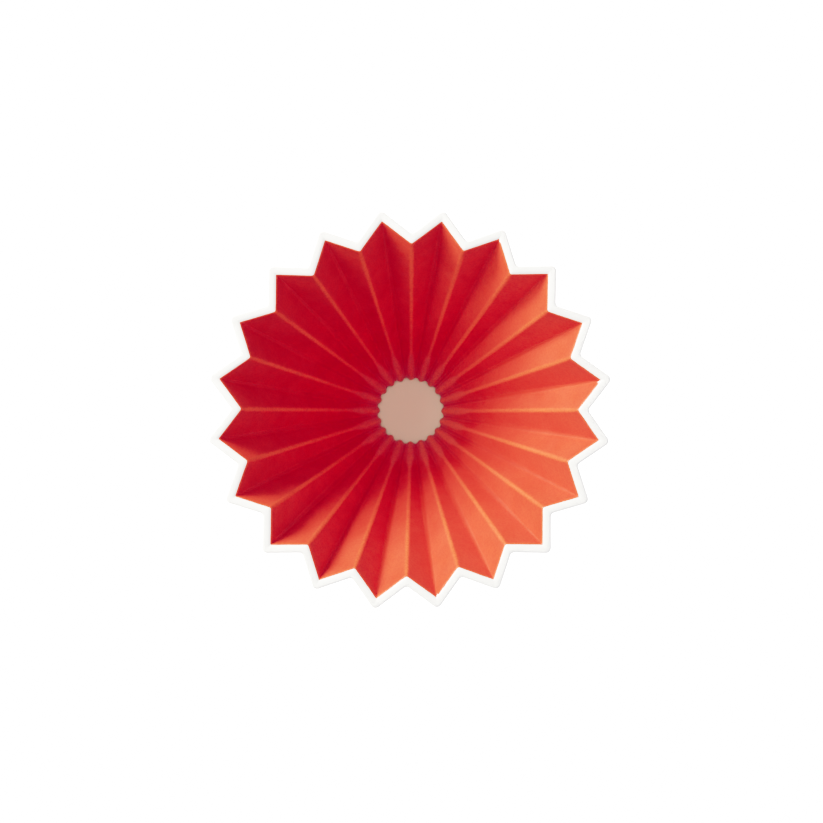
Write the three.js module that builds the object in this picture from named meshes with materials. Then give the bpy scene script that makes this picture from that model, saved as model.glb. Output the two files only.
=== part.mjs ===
// A pour-over coffee dripper: a porcelain cone folded into pleats, open at the top and at
// the drip hole, with a coat of coloured glaze fused to its inside and another outside.
// The rim and the foot are bare porcelain, flush with the glaze next to them.
// Millimetres, +Z up. The origin is the centre of the foot that the cone stands on.

import * as THREE from 'three';
import { mergeVertices } from 'three/addons/utils/BufferGeometryUtils.js';

const { clamp, lerp } = THREE.MathUtils;

// The folded cone. A fold's radius is where its two flanks would meet in a sharp edge.
const HEIGHT = 79;
const PLEATS = 20;
const FOLD_RATIO = 0.8713; // an inward fold's radius over that of the outward fold beside it
const RIM_OUTER_RADIUS = 69.3; // the outside's outward folds, carried on to the rim's height
const RIM_INNER_RADIUS = 64.5; // the cavity's outward folds, at the rim
const NECK_HEIGHT = 3; // the cone stands on a straight ring of this height
const NECK_OUTER_RADIUS = 17.1;
const NECK_INNER_RADIUS = 12.8;

// The throat. Its wide lands narrow upwards until they are the ridges of the inward folds.
const THROAT_TOP = 28;
const THROAT_STEPS = 6;
const NECK_GROOVE_DEPTH = 1.1; // how far the neck's sharp inward folds lie inside the cone's
const NECK_LAND_SHARE = 0.75; // the share of a pleat that a land takes at the neck
const TOP_LAND_SHARE = 0.12;

// Blunted and rounded edges
const RIDGE_WIDTH = 1.0; // across an inward fold, in the cavity
const CREASE_WIDTH = 0.8; // across an outward fold, in the cavity
const NOTCH_WIDTH = 2.0; // across an inward fold, outside
const TIP_WIDTH = 1.6; // across an outward fold, outside
const FOLD_ROUNDING = 0.42; // how far a rounded fold's middle stands out towards its sharp edge
const RIM_ROUND = 1.3;
const RIM_ROUND_STEPS = 3;
const RIM_INNER_BEVEL = 0.25;
const FOOT_BEVEL = 0.4;

// The glaze coats, which lie in shallow recesses of the porcelain
const COAT = 0.5;
const GAP = 0.1;
const RECESS = COAT + GAP;
const COAT_START = 1.2; // height of bare foot below both coats
const INNER_BARE_RIM = 0.7;
const OUTER_BARE_RIM = 1.6;

const HALF_PLEAT = Math.PI / PLEATS;
const POINTS_PER_PLEAT = 5;

// Radius of the straight flank between an inward fold at angle 0 and an outward fold at
// HALF_PLEAT, seen along the axis.
function flankRadius({ inward, outward }, angle) {
  const spread = inward * Math.sin(angle) + outward * Math.sin(HALF_PLEAT - angle);
  return (inward * outward * Math.sin(HALF_PLEAT)) / spread;
}

function outwardFold(neckRadius, rimRadius, z) {
  return lerp(neckRadius, rimRadius, clamp((z - NECK_HEIGHT) / (HEIGHT - NECK_HEIGHT), 0, 1));
}

// The outside's section at height z, moved inwards by inset.
function outside(z, inset) {
  const fold = outwardFold(NECK_OUTER_RADIUS, RIM_OUTER_RADIUS, z);
  const outward = fold - inset;
  const inward = fold * FOLD_RATIO - inset;
  const landAngle = NOTCH_WIDTH / 2 / inward;
  const roundAngle = TIP_WIDTH / 2 / outward;
  return { z, inward, outward, landAngle, roundAngle };
}

// The cavity's section at height z, moved outwards by depth.
function cavity(z, depth) {
  const fold = outwardFold(NECK_INNER_RADIUS, RIM_INNER_RADIUS, z);
  const rise = clamp((z - NECK_HEIGHT) / (THROAT_TOP - NECK_HEIGHT), 0, 1);
  const outward = fold + depth;
  const inward = fold * FOLD_RATIO - NECK_GROOVE_DEPTH * (1 - rise) + depth;
  const landShare = lerp(NECK_LAND_SHARE, TOP_LAND_SHARE, rise);
  const landAngle = z < THROAT_TOP ? landShare * HALF_PLEAT : RIDGE_WIDTH / 2 / inward;
  const roundAngle = CREASE_WIDTH / 2 / outward;
  return { z, inward, outward, landAngle, roundAngle };
}

// The points of one pleat of a section, as angle and radius: the two edges of the land on
// the inward fold, then one edge, the middle and the other edge of the outward fold.
function pleatPoints(section) {
  const { outward, landAngle, roundAngle } = section;
  const landRadius = flankRadius(section, landAngle);
  const edgeRadius = flankRadius(section, HALF_PLEAT - roundAngle);
  return [
    [-landAngle, landRadius],
    [landAngle, landRadius],
    [HALF_PLEAT - roundAngle, edgeRadius],
    [HALF_PLEAT, lerp(edgeRadius, outward, FOLD_ROUNDING)],
    [HALF_PLEAT + roundAngle, edgeRadius],
  ];
}

// A closed pleated ring. Its sections go up its outer side and come down its inner side.
// The lathe turns the closed profile once round, and each point then moves to its fold.
function pleatedRing(sections) {
  const profile = [...sections, sections[0]].map(({ outward, z }) => new THREE.Vector2(outward, z));
  const ring = new THREE.LatheGeometry(profile, PLEATS * POINTS_PER_PLEAT);
  const folded = [...sections, sections[0]].map(pleatPoints);
  const position = ring.getAttribute('position');
  for (let i = 0; i < position.count; i += 1) {
    const level = i % profile.length;
    const step = Math.floor(i / profile.length) % (PLEATS * POINTS_PER_PLEAT);
    const pleat = Math.floor(step / POINTS_PER_PLEAT);
    const [offset, radius] = folded[level][step % POINTS_PER_PLEAT];
    const angle = 2 * HALF_PLEAT * pleat + offset;
    position.setXYZ(i, radius * Math.cos(angle), radius * Math.sin(angle), profile[level].y);
  }
  ring.deleteAttribute('normal');
  ring.deleteAttribute('uv');
  return mergeVertices(ring, 1e-4);
}

function evenSteps(from, to, count) {
  return Array.from({ length: count + 1 }, (_, i) => lerp(from, to, i / count));
}

const throatHeights = evenSteps(NECK_HEIGHT, THROAT_TOP, THROAT_STEPS);
const innerCoatEnd = HEIGHT - INNER_BARE_RIM;
const outerCoatEnd = HEIGHT - OUTER_BARE_RIM;

function rimRoundSections() {
  return evenSteps(0, Math.PI / 2, RIM_ROUND_STEPS).map((turn) =>
    outside(HEIGHT - RIM_ROUND * (1 - Math.sin(turn)), RIM_ROUND * (1 - Math.cos(turn))),
  );
}

function porcelainBody() {
  return pleatedRing([
    outside(0, FOOT_BEVEL),
    outside(FOOT_BEVEL, 0),
    outside(COAT_START, 0),
    outside(COAT_START, RECESS),
    outside(NECK_HEIGHT, RECESS),
    outside(outerCoatEnd, RECESS),
    outside(outerCoatEnd, 0),
    ...rimRoundSections(),
    cavity(HEIGHT, RIM_INNER_BEVEL),
    cavity(HEIGHT - RIM_INNER_BEVEL, 0),
    cavity(innerCoatEnd, 0),
    cavity(innerCoatEnd, RECESS),
    ...throatHeights.toReversed().map((z) => cavity(z, RECESS)),
    cavity(COAT_START, RECESS),
    cavity(COAT_START, 0),
    cavity(FOOT_BEVEL, 0),
    cavity(0, FOOT_BEVEL),
  ]);
}

function innerGlaze() {
  const heights = [COAT_START + GAP, ...throatHeights, innerCoatEnd - GAP];
  return pleatedRing([
    ...heights.map((z) => cavity(z, COAT)),
    ...heights.toReversed().map((z) => cavity(z, 0)),
  ]);
}

function outerGlaze() {
  const heights = [COAT_START + GAP, NECK_HEIGHT, outerCoatEnd - GAP];
  return pleatedRing([
    ...heights.map((z) => outside(z, 0)),
    ...heights.toReversed().map((z) => outside(z, COAT)),
  ]);
}

const porcelain = new THREE.MeshStandardMaterial({ color: 0xf5f2ec, roughness: 0.5, metalness: 0 });
const redGlaze = new THREE.MeshStandardMaterial({ color: 0xcc2422, roughness: 0.22, metalness: 0 });
porcelain.flatShading = true;
redGlaze.flatShading = true;

function part(name, geometry, material) {
  const mesh = new THREE.Mesh(geometry, material);
  mesh.name = name;
  return mesh;
}

const dripper = new THREE.Group();
dripper.add(
  part('porcelain_body', porcelainBody(), porcelain),
  part('inner_glaze', innerGlaze(), redGlaze),
  part('outer_glaze', outerGlaze(), redGlaze),
);

export default dripper;
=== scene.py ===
"""A pleated porcelain pour-over dripper with a red glaze, seen straight down into its mouth.

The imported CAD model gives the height, the mouth and the drip hole. This script remakes its
three layers as fine meshes: the porcelain body, and a glaze coat on each side of it.
"""

import cmath
import math

import bpy
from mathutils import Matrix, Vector, noise


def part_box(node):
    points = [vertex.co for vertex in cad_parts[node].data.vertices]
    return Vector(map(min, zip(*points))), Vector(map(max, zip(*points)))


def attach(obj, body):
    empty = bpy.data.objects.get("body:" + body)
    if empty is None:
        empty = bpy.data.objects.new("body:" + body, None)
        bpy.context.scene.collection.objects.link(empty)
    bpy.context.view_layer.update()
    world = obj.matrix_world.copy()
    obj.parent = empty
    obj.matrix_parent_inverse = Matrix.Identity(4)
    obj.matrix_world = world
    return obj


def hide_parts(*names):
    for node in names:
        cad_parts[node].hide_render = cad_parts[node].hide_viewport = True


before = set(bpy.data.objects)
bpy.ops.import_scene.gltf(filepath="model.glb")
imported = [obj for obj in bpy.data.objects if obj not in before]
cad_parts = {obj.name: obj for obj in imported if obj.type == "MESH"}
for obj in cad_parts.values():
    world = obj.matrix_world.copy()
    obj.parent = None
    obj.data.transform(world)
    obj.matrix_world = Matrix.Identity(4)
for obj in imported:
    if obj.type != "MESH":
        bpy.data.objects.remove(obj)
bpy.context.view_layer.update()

MM = 0.001
PLEATS = 20
HALF_PLEAT = math.pi / PLEATS

_, BODY_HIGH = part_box("porcelain_body")
HEIGHT = BODY_HIGH.z
TIP_RADIUS = BODY_HIGH.x / math.cos(HALF_PLEAT)

# The folded cone. A fold's radius is where its two flanks would meet in a sharp edge,
# which lies past the rounded tip. The inward folds' radius is FOLD_RATIO times the outward folds'.
FOLD_RATIO = 0.8713
TIP_SHORTENING = 1.25 * MM
WALL_AT_RIM = 4.6 * MM
OUTER_FOLD_AT_RIM = TIP_RADIUS + TIP_SHORTENING
CAVITY_FOLD_AT_RIM = OUTER_FOLD_AT_RIM - WALL_AT_RIM
OUTER_FOLD_AT_NECK = 17.1 * MM
CAVITY_FOLD_AT_NECK = 13.1 * MM
NECK_HEIGHT = 3 * MM
NECK_BLEND = 1.5 * MM
CONE_SLOPE = (CAVITY_FOLD_AT_RIM - CAVITY_FOLD_AT_NECK) / (HEIGHT - NECK_HEIGHT)

# How round the cavity's folds are: stops of height and radius, in millimetres.
# The ridges of its inward folds broaden into lands in the throat.
RIDGE_ROUND = (0, 1.1), (12, 2.8), (21, 1.3), (75, 1.4), (79, 0.8)
CREASE_ROUND = (0, 1.0), (12, 1.2), (40, 1.6), (70, 0.9), (79, 0.3)
NOTCH_ROUND = 1.4 * MM
TIP_ROUND = 1.7 * MM

# How finely the meshes are divided
ARC_STEPS = 4
FLANK_STEPS = 10
THROAT_TOP = 34 * MM
THROAT_STEPS = 30
CONE_STEPS = 24
CROWN_STEPS = 6
COAT_EDGE_STEPS = 5

# The rim's crown falls away as a quarter of an ellipse on each side. The foot's edges are rounded.
OUTER_CROWN_WIDTH = 1.25 * MM
OUTER_CROWN_DROP = 1.05 * MM
INNER_CROWN_WIDTH = 2.2 * MM
INNER_CROWN_DROP = 0.35 * MM
FOOT_ROUND = 0.5 * MM

# The coats of glaze: their thickness, how far their edges take to round over, and where they end
COAT = 0.3 * MM
COAT_EDGE = 0.35 * MM
INNER_COAT_TOP = HEIGHT - 0.27 * MM
OUTER_COAT_TOP = HEIGHT - 1.9 * MM
COAT_BOTTOM = 1.3 * MM
LIP_HEIGHT = 2.4 * MM

# How far from a coat's edge its wall still follows how the edge strays
TOP_EDGE_REACH = 3 * MM
BOTTOM_EDGE_REACH = 1 * MM

# Nicks in the coats' upper edges: the tip each is beside, how many degrees past it, its depth
# and its half-width in millimetres
NICKS = (0, -0.42, 1.1, 0.42), (15, 0.38, 0.8, 0.35), (3, -0.5, 0.5, 0.4)


def mix(a, b, share):
    return a + (b - a) * share


def clamped(value):
    return min(1.0, max(0.0, value))


def smooth_step(value):
    value = clamped(value)
    return value * value * (3 - 2 * value)


def smooth_max(a, b, blend):
    overlap = max(0.0, blend - abs(a - b)) / blend
    return max(a, b) + overlap * overlap * blend / 4


def value_at(stops, place):
    """Reads a smooth curve through its stops, each a place and the value there."""
    for (low, low_value), (high, high_value) in zip(stops, stops[1:]):
        if place <= high:
            break
    return mix(low_value, high_value, smooth_step((place - low) / (high - low)))


def even_steps(start, end, count):
    return [mix(start, end, i / count) for i in range(count + 1)]


# Sections of the folded cone


def fold_radius(at_neck, at_rim, z):
    rise = smooth_max(z - NECK_HEIGHT, 0.0, NECK_BLEND) / (HEIGHT - NECK_HEIGHT)
    return mix(at_neck, at_rim, rise)


def rounded_corner(corner, inwards, along, radius):
    """Points of an arc that rounds a fold, from its middle to where it meets the flank.
    inwards points from the sharp corner to the arc's centre, and along runs down the flank."""
    half_angle = abs(cmath.phase(along / inwards))
    centre = corner + inwards * radius / math.sin(half_angle)
    start = -inwards * radius
    end = corner + along * radius / math.tan(half_angle) - centre
    turn = cmath.phase(end / start)
    return [centre + start * cmath.exp(1j * turn * i / ARC_STEPS) for i in range(ARC_STEPS + 1)]


def half_pleat(inward, outward, inward_round, outward_round):
    """Points as complex numbers from the middle of an inward fold to the middle of an outward one."""
    ray = cmath.exp(1j * HALF_PLEAT)
    low_corner = complex(inward)
    high_corner = outward * ray
    flank = (high_corner - low_corner) / abs(high_corner - low_corner)
    low_arc = rounded_corner(low_corner, 1 + 0j, flank, inward_round)
    high_arc = rounded_corner(high_corner, -ray, -flank, outward_round)
    shares = [smooth_step(i / FLANK_STEPS) for i in range(1, FLANK_STEPS)]
    middle = [mix(low_arc[-1], high_arc[-1], share) for share in shares]
    return low_arc + middle + high_arc[::-1]


def whole_outline(half):
    """A half pleat mirrored about its outward fold and repeated round the axis."""
    mirror = cmath.exp(2j * HALF_PLEAT)
    other_half = [point.conjugate() * mirror for point in half[-2:0:-1]]
    pleat = half + other_half
    return [point * mirror**k for k in range(PLEATS) for point in pleat]


def outside(z, inset):
    """Outline of the outside at height z, moved inwards by inset."""
    fold = fold_radius(OUTER_FOLD_AT_NECK, OUTER_FOLD_AT_RIM, z)
    half = half_pleat(fold * FOLD_RATIO - inset, fold - inset, NOTCH_ROUND, TIP_ROUND)
    return whole_outline(half)


def cavity(z, depth):
    """Outline of the cavity at height z, moved outwards by depth."""
    fold = fold_radius(CAVITY_FOLD_AT_NECK, CAVITY_FOLD_AT_RIM, z)
    ridge_round = value_at(RIDGE_ROUND, z / MM) * MM
    crease_round = value_at(CREASE_ROUND, z / MM) * MM
    half = half_pleat(fold * FOLD_RATIO + depth, fold + depth, ridge_round, crease_round)
    return whole_outline(half)


# The small irregularities of a hand-finished, fired piece

OVAL = 0.8 * MM
OVAL_ANGLE = math.radians(31)

# Waves round the rim: how many, their height and where they start
RIM_WAVES = (7, 0.1 * MM, 1.3), (11, 0.07 * MM, 0.4)

# How a coat's edge strays: the fineness of each noise and its height
EDGE_NOISES = (9, 0.1 * MM), (31, 0.07 * MM)


def warp(angle):
    """How far firing has moved the rim outwards and sideways at an angle.
    The rim has sunk to an oval without stretching, and wanders a little."""
    past_long_axis = angle - OVAL_ANGLE
    wander = sum(size * math.sin(count * angle + start) for count, size, start in RIM_WAVES)
    outwards = OVAL * math.cos(2 * past_long_axis) + wander
    sideways = -OVAL / 2 * math.sin(2 * past_long_axis)
    return outwards, sideways


def edge_wander(angle):
    """How far a coat's edge strays up or down from its level line."""
    point = Vector((math.cos(angle), math.sin(angle), 0.0))
    return sum(size * noise.noise(point * fineness) for fineness, size in EDGE_NOISES)


def nick_depth(angle):
    """How far the nicks pull a coat's upper edge down at an angle."""
    depth = 0.0
    for tip, past, deepest, half_width in NICKS:
        middle = (2 * tip + 1) * HALF_PLEAT + math.radians(past)
        away = math.remainder(angle - middle, math.tau) * TIP_RADIUS / (half_width * MM)
        depth += deepest * MM * math.exp(-away**4)
    return depth


def placed(outline, z, top_share=0.0, bottom_share=0.0):
    """The outline's points in space. The shares are how much they follow a coat's strayed edges.
    A point that rises moves out with the cone, so it stays in the wall's surface."""
    points = []
    for point in outline:
        radius, angle = cmath.polar(point)
        rise = top_share * (edge_wander(angle) - nick_depth(angle))
        height = z + rise + bottom_share * edge_wander(angle)
        outwards, sideways = warp(angle)
        angle += sideways * z / HEIGHT / radius
        radius += outwards * z / HEIGHT + CONE_SLOPE * rise
        points.append((radius * math.cos(angle), radius * math.sin(angle), height))
    return points


# Meshes


def new_object(name, points, faces):
    mesh = bpy.data.meshes.new(name)
    mesh.from_pydata(points, [], faces)
    mesh.validate()
    mesh.shade_smooth()
    piece = bpy.data.objects.new(name, mesh)
    bpy.context.scene.collection.objects.link(piece)
    return piece


def add_fold_attribute(mesh, rows, ridges_inward):
    """Marks each point with its share of the way from the nearest ridge to the nearest crease."""
    half = 2 * ARC_STEPS + FLANK_STEPS
    pleat = [i / half for i in range(half)] + [1 - i / half for i in range(half)]
    if not ridges_inward:
        pleat = [1 - share for share in pleat]
    attribute = mesh.attributes.new("fold", "FLOAT", "POINT")
    attribute.data.foreach_set("value", pleat * PLEATS * rows)


def closed_ring(name, rows, ridges_inward=True):
    """A closed pleated ring. Its rows go up its outer side and come down its inner side."""
    columns = len(rows[0])
    points = [point for row in rows for point in row]
    faces = []
    for i in range(len(rows)):
        upper = (i + 1) % len(rows)
        for j in range(columns):
            after = (j + 1) % columns
            corners = (i, j), (i, after), (upper, after), (upper, j)
            faces.append([row * columns + column for row, column in corners])
    piece = new_object(name, points, faces)
    add_fold_attribute(piece.data, len(rows), ridges_inward)
    return piece


def wall_heights(low, high):
    """Heights of a wall's rows from low to high, closer together in the throat."""
    return even_steps(low, THROAT_TOP, THROAT_STEPS) + even_steps(THROAT_TOP, high, CONE_STEPS)[1:]


def coat_row(surface, z, depth, low, high):
    """A row of a coat at height z, following the coat's strayed edges at low and high."""
    top_share = smooth_step(1 - (high - z) / TOP_EDGE_REACH)
    bottom_share = smooth_step(1 - (z - low) / BOTTOM_EDGE_REACH)
    return placed(surface(z, depth), z, top_share, bottom_share)


def coat(surface, top):
    """The rows of a coat of glaze, its face and then its back, both from the foot upwards.
    The face rounds down to the clay at both edges."""
    turns = even_steps(0, math.pi / 2, COAT_EDGE_STEPS)
    edge = [(1 - math.cos(turn), math.sin(turn)) for turn in turns]
    bottom_edge = [(COAT_BOTTOM + COAT_EDGE * up, share) for up, share in edge]
    top_edge = [(top - COAT_EDGE * down, share) for down, share in edge[::-1]]
    wall = [(z, 1.0) for z in wall_heights(COAT_BOTTOM + COAT_EDGE, top - COAT_EDGE)[1:-1]]
    face_rows = bottom_edge + wall + top_edge
    face = [coat_row(surface, z, COAT * (1 - share), COAT_BOTTOM, top) for z, share in face_rows]
    heights = wall_heights(COAT_BOTTOM, top)[1:-1]
    back = [coat_row(surface, z, COAT, COAT_BOTTOM, top) for z in heights]
    return face, back


def inner_coat():
    face, back = coat(cavity, INNER_COAT_TOP)
    return closed_ring("inner_glaze_coat", back + face[::-1])


def outer_coat():
    face, back = coat(outside, OUTER_COAT_TOP)
    return closed_ring("outer_glaze_coat", face + back[::-1], ridges_inward=False)


def lip_inset(z):
    """The bare lip swells out to the coat's face."""
    return COAT * smooth_step((HEIGHT - z) / LIP_HEIGHT)


def body():
    """The porcelain wall, from the foot up its outside, over the rim and down its inside."""
    turns = even_steps(0, math.pi / 2, CROWN_STEPS)
    rows = []
    for turn in turns:
        z = FOOT_ROUND * (1 - math.cos(turn))
        rows.append(placed(outside(z, COAT + FOOT_ROUND * (1 - math.sin(turn))), z))
    for z in wall_heights(FOOT_ROUND, HEIGHT - OUTER_CROWN_DROP)[1:]:
        rows.append(placed(outside(z, lip_inset(z)), z))
    for turn in turns[1:]:
        z = HEIGHT - OUTER_CROWN_DROP * (1 - math.sin(turn))
        rows.append(placed(outside(z, lip_inset(z) + OUTER_CROWN_WIDTH * (1 - math.cos(turn))), z))
    for turn in turns:
        z = HEIGHT - INNER_CROWN_DROP * (1 - math.cos(turn))
        rows.append(placed(cavity(z, COAT + INNER_CROWN_WIDTH * (1 - math.sin(turn))), z))
    for z in wall_heights(FOOT_ROUND, HEIGHT - INNER_CROWN_DROP)[-2::-1]:
        rows.append(placed(cavity(z, COAT), z))
    for turn in turns[1:]:
        z = FOOT_ROUND * (1 - math.sin(turn))
        rows.append(placed(cavity(z, COAT + FOOT_ROUND * (1 - math.cos(turn))), z))
    return closed_ring("porcelain_wall", rows)


# Materials


class Shader:
    """A principled material and a short way to add and join nodes to it."""

    def __init__(self, name):
        self.material = bpy.data.materials.new(name)
        self.material.use_nodes = True
        self.tree = self.material.node_tree
        self.surface = self.tree.nodes["Principled BSDF"]

    def node(self, kind, **settings):
        made = self.tree.nodes.new(kind)
        for key, value in settings.items():
            setattr(made, key, value)
        return made

    def join(self, output, socket):
        self.tree.links.new(output, socket)

    def coordinates(self):
        return self.node("ShaderNodeTexCoord").outputs["Object"]

    def noise(self, scale, detail=3.0):
        made = self.node("ShaderNodeTexNoise")
        made.inputs["Scale"].default_value = scale
        made.inputs["Detail"].default_value = detail
        self.join(self.coordinates(), made.inputs["Vector"])
        return made.outputs["Fac"]

    def ramp(self, value, low, high, low_result=0.0, high_result=1.0):
        made = self.node("ShaderNodeMapRange", interpolation_type="SMOOTHSTEP")
        self.join(value, made.inputs["Value"])
        made.inputs["From Min"].default_value = low
        made.inputs["From Max"].default_value = high
        made.inputs["To Min"].default_value = low_result
        made.inputs["To Max"].default_value = high_result
        return made.outputs["Result"]

    def multiply(self, a, b):
        made = self.node("ShaderNodeMath", operation="MULTIPLY")
        self.join(a, made.inputs[0])
        self.join(b, made.inputs[1])
        return made.outputs["Value"]

    def blend(self, share, under, over):
        """Mixes a colour over another by a share. Either may be a socket or a plain colour."""
        made = self.node("ShaderNodeMix", data_type="RGBA")
        self.join(share, made.inputs["Factor"])
        for socket, colour in ((made.inputs[6], under), (made.inputs[7], over)):
            if isinstance(colour, tuple):
                socket.default_value = (*colour, 1.0)
            else:
                self.join(colour, socket)
        return made.outputs[2]

    def bump(self, height, strength, distance, below=None):
        made = self.node("ShaderNodeBump")
        made.inputs["Strength"].default_value = strength
        made.inputs["Distance"].default_value = distance
        self.join(height, made.inputs["Height"])
        if below is not None:
            self.join(below, made.inputs["Normal"])
        return made.outputs["Normal"]

    def height(self):
        split = self.node("ShaderNodeSeparateXYZ")
        self.join(self.coordinates(), split.inputs["Vector"])
        return split.outputs["Z"]


RED = (0.62, 0.090, 0.032)
# The thin red is also used as a painted highlight on the ridges.
THIN_RED_AND_HIGHLIGHT = (0.78, 0.150, 0.046)
# The pooled red is also used as painted shade in the creases.
POOLED_RED_AND_SHADE = (0.48, 0.052, 0.012)
PORCELAIN = (0.93, 0.93, 0.91)
PORCELAIN_SHADE = (0.89, 0.885, 0.86)
# The blush colour is also painted shade along the rim's outer edge.
PORCELAIN_BLUSH_AND_SHADE = (0.90, 0.66, 0.54)
FOOT_SCUFF = (0.60, 0.56, 0.51)


def red_glaze():
    """A satin red glaze that thins to orange over the ridges, partly as a painted highlight, and pools
    darker in the creases, partly as painted shade.
    """
    shader = Shader("red_glaze")
    fold = shader.node("ShaderNodeAttribute", attribute_name="fold").outputs["Fac"]
    height = shader.height()
    cloud = shader.noise(90.0)
    mottled = shader.blend(shader.ramp(cloud, 0.35, 0.75, 0.0, 0.3), RED, POOLED_RED_AND_SHADE)
    patchy = shader.ramp(cloud, 0.25, 0.7, 0.7, 1.0)
    # The ridges' orange is partly thin glaze and partly a painted highlight. It is weaker deep in the
    # throat.
    ridge = shader.multiply(shader.ramp(fold, 0.03, 0.33, 1.0, 0.0), patchy)
    ridge_by_height = shader.ramp(height, 10 * MM, 60 * MM, 0.5, 1.0)
    thinned_and_highlit = shader.blend(shader.multiply(ridge, ridge_by_height), mottled, THIN_RED_AND_HIGHLIGHT)
    # The creases are darkened partly by pooled glaze and partly by painted shade, more strongly lower
    # down.
    crease = shader.multiply(shader.ramp(fold, 0.8, 1.0), patchy)
    crease_shade_by_height = shader.ramp(height, 15 * MM, 65 * MM, 1.0, 0.6)
    pooled_and_shaded = shader.blend(shader.multiply(crease, crease_shade_by_height), thinned_and_highlit, POOLED_RED_AND_SHADE)
    # A little lighter and more orange towards the rim.
    toward_rim = shader.ramp(height, 50 * MM, 75 * MM, 0.0, 0.08)
    lighter = shader.blend(toward_rim, pooled_and_shaded, THIN_RED_AND_HIGHLIGHT)
    edge = shader.ramp(height, INNER_COAT_TOP - 0.9 * MM, INNER_COAT_TOP - 0.1 * MM, 0.0, 0.7)
    edged = shader.blend(edge, lighter, THIN_RED_AND_HIGHLIGHT)
    grain = shader.ramp(shader.noise(1400.0, 2.0), 0.42, 0.6, 0.0, 0.3)
    shader.join(shader.blend(grain, edged, POOLED_RED_AND_SHADE), shader.surface.inputs["Base Color"])
    shader.join(shader.ramp(shader.noise(240.0), 0.3, 0.7, 0.42, 0.52), shader.surface.inputs["Roughness"])
    peel = shader.bump(shader.noise(700.0, 2.0), 0.2, 0.05 * MM)
    swell = shader.bump(shader.noise(110.0, 2.0), 0.25, 0.3 * MM, peel)
    shader.join(swell, shader.surface.inputs["Normal"])
    shader.surface.inputs["Coat Weight"].default_value = 0.15
    shader.surface.inputs["Coat Roughness"].default_value = 0.2
    return shader.material


def white_porcelain():
    """Bare, smooth fired porcelain, warm where it meets the outer coat, partly as a blush and partly as
    painted shade along the rim's outer edge, and scuffed at the foot.
    """
    shader = Shader("white_porcelain")
    cloud = shader.ramp(shader.noise(160.0), 0.35, 0.75, 0.0, 0.6)
    clay = shader.blend(cloud, PORCELAIN, PORCELAIN_SHADE)
    height = shader.height()
    low = shader.ramp(height, 0.0, 0.5 * MM, 0.55, 0.0)
    scuff = shader.multiply(low, shader.ramp(shader.noise(420.0), 0.4, 0.65))
    # A warm band from the outer coat's edge up to the rim's outer crown: partly a glaze blush, partly
    # painted shade.
    past_coat = shader.ramp(height, OUTER_COAT_TOP, HEIGHT - 0.3 * MM, 0.7, 0.0)
    blush_and_shade = shader.multiply(past_coat, shader.ramp(height, HEIGHT / 2, OUTER_COAT_TOP))
    lip = shader.blend(blush_and_shade, clay, PORCELAIN_BLUSH_AND_SHADE)
    shader.join(shader.blend(scuff, lip, FOOT_SCUFF), shader.surface.inputs["Base Color"])
    shader.join(shader.ramp(shader.noise(500.0), 0.3, 0.7, 0.38, 0.52), shader.surface.inputs["Roughness"])
    shader.join(shader.bump(shader.noise(1600.0, 2.0), 0.2, 0.04 * MM), shader.surface.inputs["Normal"])
    return shader.material


def finish_piece(piece, node, material):
    piece.data.materials.append(material)
    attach(piece, "root")
    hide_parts(node)


# The stage

FLOOR_HALF = 3.0
FLOOR_GAP = 0.1 * MM
FLOOR_WHITE = (0.9, 0.9, 0.89)
# The floor's shade colour and the two radii paint a contact shadow round the foot.
FLOOR_SHADE = (0.63, 0.52, 0.35)
SHADE_RADIUS = 16 * MM
GLOW_RADIUS = 60 * MM

# How strongly the floor and the world glow to the camera. The dripper gets only a share of the
# floor's glow, and a weaker world.
FLOOR_GLOW = 1.2
GLOW_ON_DRIPPER = 0.2
WORLD_SEEN = 1.2
WORLD_LIGHT = 0.21

# The lights: azimuth and elevation in degrees, distance and size in metres, power and colour
WARM_WHITE = (1.0, 0.97, 0.89)
LIGHTS = {
    "key": (142, 25, 1.2, 0.46, 11.2, WARM_WHITE),
    "side": (164, 42, 1.2, 0.4, 2.85, WARM_WHITE),
    "fill": (0, 90, 1.5, 1.0, 4.8, (1.0, 0.995, 0.97)),
}


def floor():
    """A pale floor that glows white, except in a contact shadow painted round the dripper's foot, where it
    is darker and does not glow.
    """
    corners = [(-1, -1), (1, -1), (1, 1), (-1, 1)]
    points = [(FLOOR_HALF * x, FLOOR_HALF * y, -FLOOR_GAP) for x, y in corners]
    piece = new_object("floor", points, [(0, 1, 2, 3)])
    shader = Shader("floor")
    shader.surface.inputs["Roughness"].default_value = 0.8
    shader.surface.inputs["Emission Color"].default_value = (1.0, 1.0, 1.0, 1.0)
    length = shader.node("ShaderNodeVectorMath", operation="LENGTH")
    shader.join(shader.coordinates(), length.inputs[0])
    away = shader.ramp(length.outputs["Value"], SHADE_RADIUS, GLOW_RADIUS)
    shader.join(shader.blend(away, FLOOR_SHADE, FLOOR_WHITE), shader.surface.inputs["Base Color"])
    glow = shader.ramp(length.outputs["Value"], SHADE_RADIUS, GLOW_RADIUS, 0.0, FLOOR_GLOW)
    seen = shader.node("ShaderNodeLightPath").outputs["Is Camera Ray"]
    dimmed = shader.multiply(glow, shader.ramp(seen, 0.0, 1.0, GLOW_ON_DRIPPER, 1.0))
    shader.join(dimmed, shader.surface.inputs["Emission Strength"])
    piece.data.materials.append(shader.material)


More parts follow.
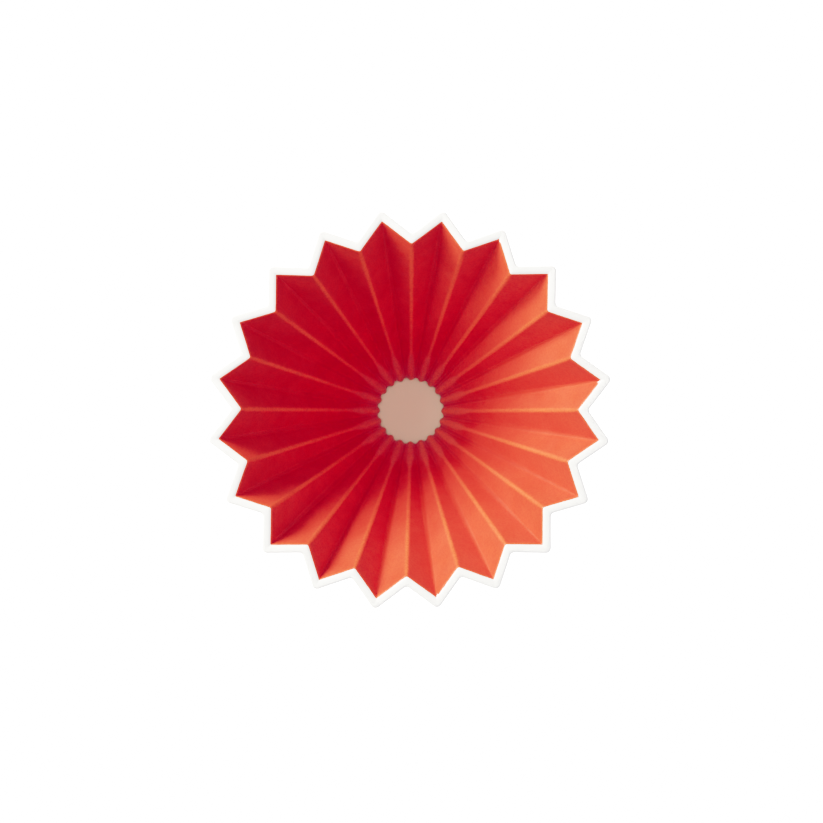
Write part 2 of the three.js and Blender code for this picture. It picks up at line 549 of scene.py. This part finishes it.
def softbox(name, azimuth, elevation, distance, size, power, colour):
    """A square soft light aimed at the middle of the dripper."""
    target = Vector((0.0, 0.0, HEIGHT / 2))
    turn, rise = math.radians(azimuth), math.radians(elevation)
    flat = math.cos(rise)
    direction = Vector((flat * math.cos(turn), flat * math.sin(turn), math.sin(rise)))
    light = bpy.data.lights.new(name, "AREA")
    light.size = size
    light.energy = power
    light.color = colour
    lamp = bpy.data.objects.new(name, light)
    lamp.location = target + distance * direction
    lamp.rotation_euler = direction.to_track_quat("Z", "Y").to_euler()
    lamp.visible_camera = False
    bpy.context.scene.collection.objects.link(lamp)


def studio():
    """The lights, and a white world that is dimmer on the dripper than to the camera."""
    for name, settings in LIGHTS.items():
        softbox(name, *settings)
    world = bpy.data.worlds.new("studio")
    world.use_nodes = True
    background = world.node_tree.nodes["Background"]
    background.inputs["Color"].default_value = (1.0, 1.0, 1.0, 1.0)
    seen = world.node_tree.nodes.new("ShaderNodeLightPath").outputs["Is Camera Ray"]
    strength = world.node_tree.nodes.new("ShaderNodeMapRange")
    strength.inputs["To Min"].default_value = WORLD_LIGHT
    strength.inputs["To Max"].default_value = WORLD_SEEN
    world.node_tree.links.new(seen, strength.inputs["Value"])
    world.node_tree.links.new(strength.outputs["Result"], background.inputs["Strength"])
    bpy.context.scene.world = world


# The camera: its distance in metres, its sensor in millimetres, its turns and shift, and how many
# times as wide as the rim the picture is
CAMERA_ABOVE_RIM = 0.6
SENSOR_WIDTH = 36.0
CAMERA_LEAN = math.radians(0.31), math.radians(0.38)
CAMERA_ROLL = math.radians(0.53)
CAMERA_SHIFT = 0.0011, -0.0007
FRAME_SIDE_PER_RIM = 2.04


def camera():
    """Looks down the cone's axis at the drip hole, leaning a little towards +X and -Y."""
    data = bpy.data.cameras.new("camera")
    data.sensor_width = SENSOR_WIDTH
    frame_side = FRAME_SIDE_PER_RIM * 2 * TIP_RADIUS
    data.lens = SENSOR_WIDTH * CAMERA_ABOVE_RIM / frame_side
    data.shift_x, data.shift_y = CAMERA_SHIFT
    eye = bpy.data.objects.new("camera", data)
    distance = CAMERA_ABOVE_RIM + HEIGHT
    tilt, pan = CAMERA_LEAN
    eye.location = (distance * math.tan(pan), -distance * math.tan(tilt), distance)
    eye.rotation_euler = (tilt, pan, CAMERA_ROLL)
    bpy.context.scene.collection.objects.link(eye)
    bpy.context.scene.camera = eye


# The picture's tone: the light that arrives, and the brightness shown for it
TONE = (
    (0.016, 0.0007), (0.032, 0.035), (0.064, 0.112), (0.12, 0.265), (0.2, 0.432),
    (0.32, 0.659), (0.48, 0.788), (0.64, 0.871), (0.8, 0.95),
)
LOST_GREEN = 0.003
BLUE_IN_BLACK = 0.0185


def develop():
    """Shows the scene with the photograph's contrast, lost darkest greens and faintly blue blacks."""
    view = bpy.context.scene.view_settings
    view.view_transform = "Standard"
    view.use_curve_mapping = True
    mapping = view.curve_mapping
    mapping.extend = "HORIZONTAL"
    _, green, blue, combined = mapping.curves
    for light, shown in TONE:
        combined.points.new(light, shown)
    green.points[0].location.x = LOST_GREEN
    blue.points[0].location.y = BLUE_IN_BLACK
    mapping.update()


glaze = red_glaze()
finish_piece(body(), "porcelain_body", white_porcelain())
finish_piece(inner_coat(), "inner_glaze", glaze)
finish_piece(outer_coat(), "outer_glaze", glaze)
floor()
studio()
camera()
develop()
